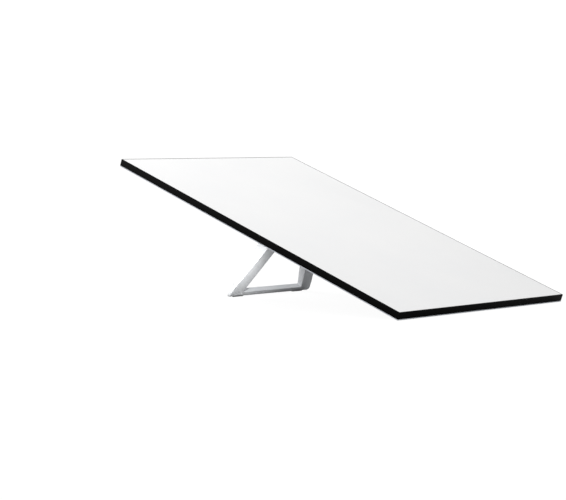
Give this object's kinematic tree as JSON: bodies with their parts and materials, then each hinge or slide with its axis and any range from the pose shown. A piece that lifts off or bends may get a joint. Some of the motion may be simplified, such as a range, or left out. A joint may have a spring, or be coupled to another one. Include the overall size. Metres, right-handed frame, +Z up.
{
  "type": "portable drawing board",
  "caption": "Flat laminated drawing panel with dark edge bands, leaning on a fold-out trapezoid stand that hinges on a flush turntable in its back.",
  "frame": {"origin": "middle of the bounding box at table level", "axes": "+Z up, +Y from the lower edge to the upper edge, +X to the right of a person drawing"},
  "size_m": [0.4, 0.5672, 0.2184],
  "materials": {
    "laminate": "smooth off-white laminate, low sheen",
    "core": "raw fibreboard",
    "black_band": "satin black edging",
    "back_sheet": "light blue-grey satin",
    "turntable": "light blue-grey satin, turned",
    "dark_steel": "blackened",
    "steel": "bright zinc",
    "brass": "machined",
    "nylon": "natural nylon",
    "stand_aluminium": "satin silver casting",
    "rubber": "dark grey, matt"
  },
  "bodies": {
    "panel": {"drawing_surface": "laminate", "core_panel": "core", "back_sheet": "back_sheet", "edge_band_left": "black_band", "edge_band_right": "black_band", "edge_band_lower": "black_band", "edge_band_upper": "black_band", "slide_ring": "nylon", "pivot_insert": "brass", "pivot_bolt": "dark_steel"},
    "turntable": {"turntable_disc": "turntable", "index_plug": "dark_steel", "pivot_washer": "nylon", "hinge_bracket_left": "steel", "hinge_bracket_right": "steel", "bracket_screw_left_1": "dark_steel", "bracket_screw_left_2": "dark_steel", "bracket_screw_right_1": "dark_steel", "bracket_screw_right_2": "dark_steel", "stop_pad": "rubber", "hinge_pin": "steel", "pin_clip_left": "dark_steel", "pin_clip_right": "dark_steel"},
    "stand": {"stand_frame": "stand_aluminium", "foot_pad_left": "rubber", "foot_pad_right": "rubber", "hinge_bush_left": "nylon", "hinge_bush_right": "nylon", "friction_washer_left": "steel", "friction_washer_right": "steel"}
  },
  "joints": [
    {"name": "turntable_swivel", "type": "hinge", "parent": "panel", "child": "turntable", "pos_m": [0, 0.00207, 0.10359], "axis": [0, -0.3453, 0.9385], "continuous": true},
    {"name": "stand_fold", "type": "hinge", "parent": "turntable", "child": "stand", "pos_m": [0, 0.07313, 0.12014], "axis": [1, 0, 0], "range_deg": [-103.8, 0]}
  ]
}
